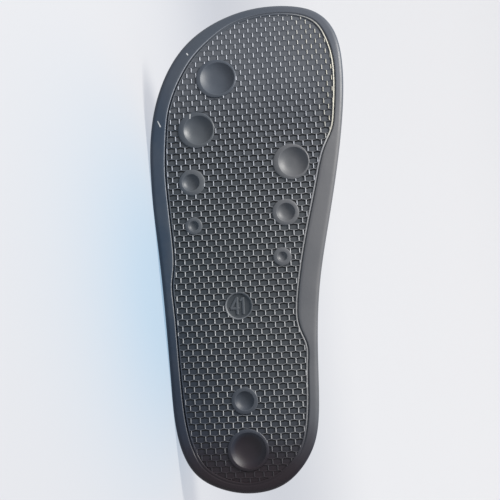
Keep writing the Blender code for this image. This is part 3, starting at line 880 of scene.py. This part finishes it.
def add_dish(shape, along, across, edge, radius, depth, shift):
    """A flat ring on the floor of the pattern with a round hollow in it."""
    rings = [(edge + out, down, dust_and_painted_light) for out, down, dust_and_painted_light in DISH_RING]
    rings += [(radius + out, down, dust_and_painted_light) for out, down, dust_and_painted_light in DISH_LIP]
    top = DISH_LIP[-1][1]
    for k in range(1, BOWL_STEPS):
        share = math.cos(math.pi / 2 * k / BOWL_STEPS)
        rings.append((radius * share, top + (depth - top) * (1 - share**BOWL_POWER), BOWL_DUST))
    rings.append((radius * BOWL_END_SHARE, depth, BOWL_DUST))
    add_turned(shape, float(u_of(along * SOLE_LENGTH)), across * BALL_WIDTH, rings, shift, len(DISH_RING))


def add_size_disc(shape):
    """A round recess with a thin border and the raised number 41."""
    u = float(u_of(DISC_ALONG_SHARE * SOLE_LENGTH))
    v = DISC_ACROSS_SHARE * BALL_WIDTH
    add_turned(shape, u, v, [(DISC_RADIUS / MM + out, depth, dust_and_painted_light) for out, depth, dust_and_painted_light in DISC_RINGS])
    for (up, right), (end_up, end_right) in DIGIT_STROKES:
        start = (u + up * MM, v + right * MM)
        end = (u + end_up * MM, v + end_right * MM)
        add_ridge(shape, [start, end], 0.0, DIGIT_PROFILE, DISC_DEPTH, DIGIT_HEIGHT, DIGIT_DUST)


def tread_shape():
    shape = Shape()
    add_floor(shape)
    add_bricks(shape)
    for row in DISHES:
        add_dish(shape, *row)
    add_size_disc(shape)
    return shape


def insole_shape():
    inset_from_outline = lip_inset() + CLEARANCE
    edge = outline.offset(TURNS, -inset_from_outline)
    rings = []
    for share in (*reversed(BED_RING_SHARES), 1.0):
        loop = bowl(edge, share)
        rings.append(ring(loop, bed_height(loop, share) - INSOLE_THICKNESS))
    for drop, inset in quarter(INSOLE_EDGE_STEPS):
        loop = outline.offset(TURNS, -(inset_from_outline + INSOLE_EDGE_RADIUS * inset))
        rings.append(ring(loop, bed_height(loop, 1.0) - INSOLE_EDGE_RADIUS * drop))
    shares = [1 - k / INSOLE_STEPS for k in range(1, INSOLE_STEPS)]
    shares += [INSOLE_LINE_SHARE + away for away in INSOLE_LINE_ROWS]
    for share in sorted((s for s in shares if s <= INSOLE_LAST_SHARE), reverse=True):
        loop = bowl(edge, share)
        line = INSOLE_LINE_DEPTH if abs(share - INSOLE_LINE_SHARE) < INSOLE_LINE_REACH else 0.0
        rings.append(ring(loop, bed_height(loop, share) - line))
    shape = Shape()
    shape.add(np.concatenate(rings), capped_faces(len(rings), len(TURNS)))
    return shape


class BandSection:
    """The middle of the band's wall on one side, at a place from its rear edge, 0, to its front edge, 1."""

    def __init__(self, place, medial):
        places, *columns = np.array(STRAP_SECTION_SHARES).T
        shares = [float(spline(places, column, place)) for column in columns]
        lateral_seat, medial_seat, crown, height = shares
        self.seat_x = (medial_seat if medial else lateral_seat) * SOLE_LENGTH
        self.crown_x = crown * SOLE_LENGTH
        self.top = height * INSTEP_HEIGHT
        outward = 1 if medial else -1
        edge = float(outline.edge(self.seat_x, medial))
        bulge = MEDIAL_BULGE if medial else LATERAL_BULGE
        self.seat_y = edge - outward * pocket_inset()
        self.widest_y = edge + outward * (bulge - STRAP_THICKNESS / 2)
        self.lip = float(lip_height(np.array([[self.seat_x, edge]]))[0])
        self.level = self.lip + (self.top - self.lip) * BULGE_LEVEL_SHARE
        lateral_edge, medial_edge = (float(outline.edge(self.crown_x, side)) for side in (False, True))
        self.crown_y = (lateral_edge + medial_edge) / 2 + CROWN_SHIFT_SHARE * (medial_edge - lateral_edge)

    def points(self):
        """From the bottom of the pocket up to the crown."""
        found = []
        for k in range(LEG_STEPS):
            found.append((self.seat_x, self.seat_y, self.lip - POCKET_DEPTH * (1 - k / LEG_STEPS)))
        for k in range(SWELL_STEPS + 1):
            share = k / SWELL_STEPS
            y = self.seat_y + (self.widest_y - self.seat_y) * smooth(share)
            found.append(self.lean(y, self.lip + (self.level - self.lip) * share))
        for k in range(1, ARCH_STEPS + 1):
            angle = math.pi / 2 * k / ARCH_STEPS
            reach = max(math.cos(angle), 0) ** (2 / STRAP_CURVE_POWER)
            rise = math.sin(angle) ** (2 / STRAP_CURVE_POWER)
            y = self.crown_y + (self.widest_y - self.crown_y) * reach
            found.append(self.lean(y, self.level + (self.top - self.level) * rise))
        return found

    def lean(self, y, z):
        share = (z - self.lip) / (self.top - self.lip)
        return self.seat_x + (self.crown_x - self.seat_x) * smooth(share), y, z


def band_row(place):
    lateral, medial = (BandSection(place, side).points() for side in (False, True))
    return np.array(lateral + medial[-2::-1])


def band_grid(places):
    """The band's middle surface and its outward normals, as arrays of rows."""
    rows = np.array([band_row(place) for place in places])
    along = np.gradient(rows, axis=0)
    across = np.gradient(rows, axis=1)
    normals = np.cross(across, along)
    normals /= np.linalg.norm(normals, axis=2)[:, :, None]
    outward = normals[len(places) // 2, rows.shape[1] // 2, 2]
    return rows, normals * (1 if outward > 0 else -1)


def band_places():
    """Places of the rows from the rear to the front edge, closer at the rolled edges and the seams."""
    rear, middle, front = BandSection(0, False), BandSection(0.5, False), BandSection(1, False)
    width = math.dist((rear.crown_x, rear.top), (middle.crown_x, middle.top))
    width += math.dist((middle.crown_x, middle.top), (front.crown_x, front.top))
    near = np.array(CLOSE_ROWS) * MM / width
    even = np.linspace(near[-1], 1 - near[-1], EVEN_ROWS + 2)[1:-1]
    return np.concatenate([near, even, 1 - near[::-1]])


def run_lengths(line):
    """Length along a line of points up to each of them."""
    return np.concatenate([[0], np.cumsum(np.linalg.norm(np.diff(line, axis=0), axis=1))])


def body_share(to_edge):
    """Share of its full thickness that the band has at a distance from its edge."""
    return fade(to_edge, (0.0, 3 * SEAM_INSET), STRAP_EDGE_SHARE, 1)


def band_profile(rows):
    """Half the band's thickness at each row, and how far the row lies from the nearer edge."""
    widths = run_lengths(rows[:, rows.shape[1] // 2])
    to_edge = np.minimum(widths, widths[-1] - widths)
    edge = STRAP_THICKNESS / 2
    roll = np.sqrt(1 - np.clip(1 - to_edge / edge, 0, 1) ** 2)
    return edge * body_share(to_edge) * roll, to_edge


def strap_shape():
    """The band as a closed shell with thinner rolled edges and a pressed line under each seam."""
    places = band_places()
    rows, normals = band_grid(places)
    half, to_edge = band_profile(rows)
    seam = SEAM_DEPTH * np.exp(-(((to_edge - SEAM_INSET) / SEAM_WIDTH) ** 2))
    outer = rows + normals * (half - seam)[:, None, None]
    inner = rows - normals * half[:, None, None]
    count = rows.shape[1]
    loops = np.concatenate([outer, inner[::-1]])
    faces = ring_faces(len(loops), count, closed=False)
    last = len(loops) - 1
    for column in (0, count - 1):
        for r in range(len(places) - 1):
            corners = r, r + 1, last - r - 1, last - r
            faces.append(tuple(row * count + column for row in corners))
    shape = Shape()
    shape.add(loops.reshape(-1, 3), faces)
    return shape, len(places), count


class Graph:
    """A material built from nodes, with short calls for the ones used here."""

    def __init__(self, name):
        self.material = bpy.data.materials.new(name)
        self.material.use_nodes = True
        self.tree = self.material.node_tree
        self.shader = self.tree.nodes["Principled BSDF"]

    def node(self, kind, settings=None, **inputs):
        made = self.tree.nodes.new(kind)
        for name, value in (settings or {}).items():
            setattr(made, name, value)
        for name, value in inputs.items():
            self.plug(value, made.inputs[name.replace("_", " ")])
        return made

    def plug(self, value, socket):
        if isinstance(value, bpy.types.NodeSocket):
            self.tree.links.new(value, socket)
        else:
            socket.default_value = value

    def attribute(self, name, output="Vector"):
        return self.node("ShaderNodeAttribute", {"attribute_name": name}).outputs[output]

    def shade(self, name, value):
        self.plug(value, self.shader.inputs[name])

    def math(self, operation, a, b=0.0, clamp=False):
        made = self.node("ShaderNodeMath", {"operation": operation, "use_clamp": clamp})
        self.plug(a, made.inputs[0])
        self.plug(b, made.inputs[1])
        return made.outputs[0]

    def times(self, a, b, clamp=False):
        return self.math("MULTIPLY", a, b, clamp)

    def vector(self, operation, a, b):
        """The outputs of vector maths on two vectors, sockets or values."""
        made = self.node("ShaderNodeVectorMath", {"operation": operation})
        self.plug(a, made.inputs[0])
        self.plug(b, made.inputs[1])
        return made.outputs

    def ramp(self, value, low, high, to_low=0.0, to_high=1.0):
        """A soft step from low to high."""
        made = self.node("ShaderNodeMapRange", {"interpolation_type": "SMOOTHSTEP"})
        for socket, given in zip(made.inputs[:5], (value, low, high, to_low, to_high)):
            self.plug(given, socket)
        return made.outputs[0]

    def mix(self, share, a, b):
        made = self.node("ShaderNodeMix", {"data_type": "RGBA"})
        for k, value in ((0, share), (6, a), (7, b)):
            self.plug((*value, 1.0) if isinstance(value, (tuple, list)) else value, made.inputs[k])
        return made.outputs[2]

    def noise(self, place, scale, detail=3.0, roughness=0.55):
        made = self.node("ShaderNodeTexNoise", Vector=place, Scale=scale, Detail=detail, Roughness=roughness)
        return made.outputs["Fac"]

    def bump(self, height, distance, strength=1.0, normal=None):
        made = self.node("ShaderNodeBump", Height=height, Distance=distance, Strength=strength)
        if normal is not None:
            self.plug(normal, made.inputs["Normal"])
        return made.outputs[0]

    def stroke(self, place, start, end, width):
        """1 along a short straight mark between two places in the sandal's axes, 0 elsewhere."""
        start, end = Vector(start), Vector(end)
        run = end - start
        away = self.vector("SUBTRACT", place, start)[0]
        along = self.vector("DOT_PRODUCT", away, run / run.length_squared)["Value"]
        share = self.times(along, 1.0, clamp=True)
        rest = self.vector("SUBTRACT", away, self.vector("MULTIPLY", run, share)[0])[0]
        far = self.vector("DISTANCE", rest, (0.0, 0.0, 0.0))["Value"]
        return self.ramp(far, width, width * 0.4)


def foam_material():
    graph = Graph("moulded_foam")
    mix, ramp, times = graph.mix, graph.ramp, graph.times
    place = graph.attribute("shoe")
    x, y, _ = graph.node("ShaderNodeSeparateXYZ", Vector=place).outputs
    # Worn dust, painted highlights and, below zero, painted shadows, read from the mesh.
    dust_and_painted_light = graph.attribute("dust_and_painted_light", "Fac")
    patches = graph.noise(place, 38.0, 4.0)
    specks = graph.noise(place, 900.0, 2.0)

    # Foam tops, as painted shade and painted blue reflection: darker and bluer on the lateral side and
    # lighter and greyer on the medial one, darker at the toe, and darker at the lateral heel by painted
    # shade.
    base = mix(ramp(y, -0.044, -0.022), FOAM_LATERAL, FOAM_MIDDLE)
    base = mix(ramp(y, -0.005, 0.046), base, FOAM_MEDIAL)
    base = mix(ramp(patches, 0.30, 0.72, 0.0, 0.22), base, FOAM_PALE)
    base = mix(ramp(x, 0.190, 0.225, 0.0, 0.65), base, FOAM_TOE)
    # Painted shade towards the lateral heel, on the tops, the floor and the light dust.
    rear = ramp(graph.math("ADD", x, times(y, 0.9)), 0.108, -0.010, 0.0, 0.84)
    base = mix(rear, base, REAR_SHADE)

    # The floor of the pattern, darker on the lateral side and lighter at the toe as painted shade and light,
    # with painted shade at the lateral heel and painted shadow where the attribute is negative.
    deep = mix(ramp(y, -0.040, 0.046), DEEP_LATERAL, DEEP_MEDIAL)
    deep = mix(ramp(x, 0.140, 0.235), deep, FOAM_TOE_DEEP)
    deep = mix(times(rear, 0.8), deep, REAR_SHADE)
    deep = mix(ramp(dust_and_painted_light, 0.0, -0.8), deep, PAINTED_SHADOW)
    colour = mix(ramp(dust_and_painted_light, 0.0, 0.4), deep, base)

    # Dust on worn tops where the attribute is above 0.4, whose colour also paints the highlights on lit
    # flanks and edges: warmer at the toe, thinner at the heel, and thinner on the lateral heel as painted
    # shade.
    toe = times(ramp(x, 0.212, 0.250), ramp(y, 0.018, 0.052))
    edge = times(ramp(x, 0.175, 0.198), ramp(y, 0.042, 0.054))
    wear_and_painted_light = mix(ramp(x, 0.115, 0.185), WORN_REAR, WORN_FRONT)
    wear_and_painted_light = mix(graph.math("MAXIMUM", toe, edge), wear_and_painted_light, TOE_DUST)
    heel = ramp(graph.math("ADD", x, times(patches, 0.02)), 0.050, 0.018)
    # Painted shade at the lateral heel: less of the light dust colour there.
    lateral_rear_shade = times(rear, ramp(y, -0.002, -0.026))
    amount = times(ramp(dust_and_painted_light, 0.4, 1.0), ramp(specks, 0.25, 0.75, 0.55, 1.0))
    amount = times(amount, ramp(heel, 0.0, 1.0, 1.0, 0.25))
    amount = times(amount, ramp(lateral_rear_shade, 0.0, 1.0, 1.0, 0.40))
    colour = mix(amount, colour, wear_and_painted_light)

    # Dirt over the heel, which also stands as painted shade, and dirt in its dish, then the scuffs.
    along, across = DISHES[-1][:2]
    away = graph.vector("DISTANCE", place, (along * SOLE_LENGTH, across * BALL_WIDTH, 0.0))["Value"]
    heel = graph.math("MAXIMUM", heel, ramp(away, 0.0100, 0.0065, 0.0, 0.9))
    colour = mix(times(heel, ramp(dust_and_painted_light, 0.4, 1.0, 0.94, 0.76)), colour, HEEL_DIRT_AND_SHADE)
    for x0, y0, x1, y1, width in SCUFFS:
        start = (x0 * MM, y0 * MM, float(tread(x0 * MM)))
        end = (x1 * MM, y1 * MM, float(tread(x1 * MM)))
        colour = mix(graph.stroke(place, start, end, width * MM), colour, SCUFF)

    graph.shade("Base Color", colour)
    graph.shade("Roughness", ramp(patches, 0.3, 0.7, 0.42, 0.54))
    graph.shade("Specular IOR Level", 0.32)
    coarse = graph.bump(graph.noise(place, 420.0, 3.0), 0.00010, 0.5)
    graph.shade("Normal", graph.bump(graph.noise(place, 2600.0, 3.0), 0.00004, 0.6, coarse))
    return graph.material


def footbed_material():
    graph = Graph("footbed_foam")
    place = graph.attribute("shoe")
    patches = graph.noise(place, 30.0, 4.0)
    graph.shade("Base Color", graph.mix(graph.ramp(patches, 0.3, 0.7), *FOOTBED_COLOURS))
    graph.shade("Roughness", 0.78)
    cells = graph.node("ShaderNodeTexVoronoi", {"feature": "SMOOTH_F1"}, Vector=place, Scale=620.0)
    normal = graph.bump(cells.outputs["Distance"], 0.00022, 0.7)
    graph.shade("Normal", graph.bump(graph.noise(place, 3000.0, 2.0), 0.00004, 0.5, normal))
    return graph.material


def band_material():
    graph = Graph("grained_band")
    place = graph.attribute("shoe")
    patches = graph.noise(place, 45.0, 4.0)
    graph.shade("Base Color", graph.mix(graph.ramp(patches, 0.3, 0.7), *BAND_COLOURS))
    graph.shade("Roughness", graph.ramp(patches, 0.3, 0.7, 0.42, 0.54))
    cells = graph.node("ShaderNodeTexVoronoi", {"feature": "F1"}, Vector=place, Scale=900.0)
    normal = graph.bump(cells.outputs["Distance"], 0.00016, 0.6)
    graph.shade("Normal", graph.bump(graph.noise(place, 260.0, 5.0, 0.65), 0.00012, 0.5, normal))
    return graph.material


def lining_material():
    graph = Graph("knit_lining")
    place = graph.attribute("shoe")
    threads = []
    for axis in "XY":
        settings = {"bands_direction": axis}
        waves = graph.node("ShaderNodeTexWave", settings, Vector=place, Scale=420.0, Distortion=0.6)
        threads.append(waves.outputs["Fac"])
    knit = graph.times(*threads)
    graph.shade("Base Color", graph.mix(knit, *LINING_COLOURS))
    graph.shade("Roughness", 0.9)
    graph.shade("Sheen Weight", 0.3)
    graph.shade("Normal", graph.bump(knit, 0.00015, 0.8))
    return graph.material


def thread_material():
    graph = Graph("seam_thread")
    twist = graph.noise(graph.attribute("shoe"), 2400.0, 2.0)
    graph.shade("Base Color", graph.mix(twist, *THREAD_COLOURS))
    graph.shade("Roughness", 0.6)
    graph.shade("Normal", graph.bump(twist, 0.00008, 0.6))
    return graph.material


def has_twin(face):
    """True if another face has the same corners."""
    corners = set(face.verts)
    return any(other is not face and set(other.verts) == corners for other in face.verts[0].link_faces)


def pocket_cutter(medial):
    """A closed wedge of the band's seat, wider than the band by the clearance on every side."""
    places = band_places()
    halves, _ = band_profile(np.array([band_row(place) for place in places]))
    last = len(places) - 1
    keep = [k for k in range(last + 1) if k % CUTTER_STRIDE == 0 or min(k, last - k) < CUTTER_CLOSE_ROWS]
    places, halves = places[keep], halves[keep]
    sections = [BandSection(place, medial) for place in places]
    levels = (-POCKET_DEPTH, POCKET_DEPTH)
    rows = np.array([[(s.seat_x, s.seat_y, s.lip + level) for level in levels] for s in sections])
    along = np.gradient(rows[:, 0, :2], axis=0)
    along /= np.linalg.norm(along, axis=1)[:, None]
    rows[0, :, :2] -= along[0] * CLEARANCE
    rows[-1, :, :2] += along[-1] * CLEARANCE
    side = np.stack([along[:, 1], -along[:, 0], np.zeros(len(along))], axis=1)[:, None, :]
    half = (halves + CLEARANCE)[:, None, None]
    sheets = [rows + side * half, rows - side * half]
    mesh = bpy.data.meshes.new("pocket")
    work = bmesh.new()
    for k in range(len(places) - 1):
        corners = [sheets[s][k + r, c] for s in (0, 1) for r in (0, 1) for c in (0, 1)]
        verts = [work.verts.new(to_row(p)) for p in corners]
        for face in ((0, 1, 3, 2), (4, 6, 7, 5), (0, 4, 5, 1), (2, 3, 7, 6), (0, 2, 6, 4), (1, 5, 7, 3)):
            work.faces.new([verts[i] for i in face])
    bmesh.ops.remove_doubles(work, verts=work.verts, dist=1e-7)
    bmesh.ops.delete(work, geom=[face for face in work.faces if has_twin(face)], context="FACES")
    bmesh.ops.recalc_face_normals(work, faces=work.faces)
    work.to_mesh(mesh)
    work.free()
    return add_object("pocket", mesh)


def cut_pockets(sole):
    for medial in (False, True):
        cutter = pocket_cutter(medial)
        step = sole.modifiers.new("pocket", "BOOLEAN")
        step.object = cutter
        step.operation = "DIFFERENCE"
        step.solver = "EXACT"
        graph = bpy.context.evaluated_depsgraph_get()
        cut = bpy.data.meshes.new_from_object(sole.evaluated_get(graph))
        sole.modifiers.clear()
        sole.data = cut
        bpy.data.objects.remove(cutter)


def stitch_shape():
    """Short stitches along both seams of the band, half sunk in the pressed line."""
    shape = Shape()
    rows, normals = band_grid(band_places())
    widths = run_lengths(rows[:, rows.shape[1] // 2])
    lift = STRAP_THICKNESS / 2 * body_share(SEAM_INSET) - SEAM_DEPTH + STITCH_RADIUS * STITCH_LIFT_SHARE
    above_pockets = slice(LEG_STEPS, -LEG_STEPS)
    for at in (SEAM_INSET, widths[-1] - SEAM_INSET):
        row = np.searchsorted(widths, at)
        share = (at - widths[row - 1]) / (widths[row] - widths[row - 1])
        lean = (normals[row - 1] * (1 - share) + normals[row] * share)[above_pockets]
        line = (rows[row - 1] * (1 - share) + rows[row] * share)[above_pockets] + lean * lift
        gone = run_lengths(line)
        for k in range(int(gone[-1] / STITCH_PITCH)):
            middle = (k + 0.5) * STITCH_PITCH
            ends = [middle + side * STITCH_LENGTH / 2 for side in (-1, 1)]
            start, end = (np.array([np.interp(place, gone, column) for column in line.T]) for place in ends)
            add_stitch(shape, start, end, np.array([np.interp(middle, gone, column) for column in lean.T]))
    return shape


def add_stitch(shape, start, end, out):
    """A short thread between two places, thick in the middle and sinking at its ends."""
    along = end - start
    along /= np.linalg.norm(along)
    side = np.cross(along, out)
    rows = []
    for share, thick, rise in STITCH_SECTIONS:
        centre = start + (end - start) * share + out * STITCH_RADIUS * rise
        for k in range(STITCH_SIDES):
            a = 2 * math.pi * k / STITCH_SIDES
            rows.append(centre + (side * math.cos(a) + out * math.sin(a)) * STITCH_RADIUS * thick)
    shape.add(rows, ring_faces(len(STITCH_SECTIONS), STITCH_SIDES))


def build_pieces():
    foam = foam_material()
    sole = make_piece("sole_body", sole_shape(), [foam], 30)
    cut_pockets(sole)
    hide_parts("sole")
    down = Vector(AXES[2])
    pattern = make_piece("tread_pattern", tread_shape(), [foam], 50, down)
    insole = make_piece("footbed", insole_shape(), [footbed_material()], 40)
    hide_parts("insole")
    shape, rows, columns = strap_shape()
    strap = make_piece("instep_band", shape, [band_material(), lining_material()], 60)
    lined = rows * (columns - 1)
    for polygon in strap.data.polygons:
        polygon.material_index = int(lined <= polygon.index < (2 * rows - 1) * (columns - 1))
    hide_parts("strap")
    stitches = make_piece("band_stitching", stitch_shape(), [thread_material()], 60)


def turn_to_row(direction):
    return Vector(np.asarray(direction) @ AXES).normalized()


def add_camera():
    data = bpy.data.cameras.new("camera")
    data.sensor_width = 36.0
    data.lens = data.sensor_width * FOCAL_PIXELS / PHOTO_PIXELS
    data.clip_start = 0.01
    data.clip_end = 50.0
    camera = add_object("camera", data)
    back = -turn_to_row(CAMERA_LOOK)
    right = turn_to_row(CAMERA_UP).cross(back).normalized()
    turn = Matrix((right, back.cross(right), back)).transposed().to_4x4()
    camera.matrix_world = Matrix.Translation(to_row(CAMERA_PLACE)) @ turn
    bpy.context.scene.camera = camera


def add_key_light():
    """An area light that faces the middle of the tread."""
    data = bpy.data.lights.new("key", "AREA")
    data.size = KEY_SIZE
    data.energy = KEY_POWER
    data.color = KEY_COLOUR
    light = add_object("key", data)
    light.location = to_row(KEY_PLACE)
    away = light.location - Vector(to_row(KEY_TARGET))
    light.rotation_euler = away.to_track_quat("Z", "Y").to_euler()
    light.visible_camera = False


def add_stage():
    """A round floor that turns up into a low pale wall, with a glow on the part behind the sandal and a
    bluish painted shadow in the glow near it.
    """
    profile = [(STAGE_RADIUS - STAGE_BEND, 0.0)]
    for k in range(1, STAGE_BEND_STEPS + 1):
        a = math.pi / 2 * k / STAGE_BEND_STEPS
        profile.append((STAGE_RADIUS - STAGE_BEND * (1 - math.sin(a)), STAGE_BEND * (1 - math.cos(a))))
    profile.append((STAGE_RADIUS, STAGE_HEIGHT))
    turns = [2 * math.pi * k / STAGE_SIDES for k in range(STAGE_SIDES)]
    points = [(radius * math.cos(a), radius * math.sin(a), z) for radius, z in profile for a in turns]
    faces = [face[::-1] for face in ring_faces(len(profile), STAGE_SIDES)] + [tuple(range(STAGE_SIDES))]
    mesh = bpy.data.meshes.new("floor_sweep")
    mesh.from_pydata(points, [], faces)
    mesh.shade_smooth()
    graph = Graph("pale_paper")
    place = graph.node("ShaderNodeNewGeometry").outputs["Position"]
    parts = graph.node("ShaderNodeSeparateXYZ", Vector=place).outputs
    up = graph.ramp(parts[2], 0.0, 0.35)
    floor = graph.mix(graph.noise(place, 6.0, 3.0), FLOOR_COLOUR, [c * 1.04 for c in FLOOR_COLOUR])
    graph.shade("Base Color", graph.mix(up, floor, BACKDROP_COLOUR))
    wall = graph.mix(graph.ramp(parts[1], 0.60, 1.50), WALL_GLOW, BACKDROP_GLOW)
    squares = []
    # A bluish painted shadow: the floor's glow turns weaker and bluer near the sandal.
    for part, middle, reach in zip(parts, to_row(NEAR_PLACE), NEAR_REACH):
        far = graph.math("DIVIDE", graph.math("SUBTRACT", part, float(middle)), reach)
        squares.append(graph.times(far, far))
    near = graph.ramp(graph.math("SQRT", graph.math("ADD", *squares)), 1.0, 0.1)
    graph.shade("Emission Color", graph.mix(up, graph.mix(near, FLOOR_GLOW, NEAR_PAINTED_SHADOW), wall))
    graph.shade("Emission Strength", 1.0)
    graph.shade("Roughness", 0.95)
    mesh.materials.append(graph.material)
    add_object("floor_sweep", mesh)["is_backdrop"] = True


def add_world():
    world = bpy.data.worlds.new("soft_sky")
    world.use_nodes = True
    background = world.node_tree.nodes["Background"]
    background.inputs["Color"].default_value = SKY_COLOUR
    background.inputs["Strength"].default_value = SKY_STRENGTH
    bpy.context.scene.world = world
    bpy.context.scene.view_settings.view_transform = "Standard"


build_pieces()
add_stage()
add_camera()
add_key_light()
add_world()

boxes = {"cad": cad_box, "visual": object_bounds()}
{name: [list(corner) for corner in box] for name, box in boxes.items()}
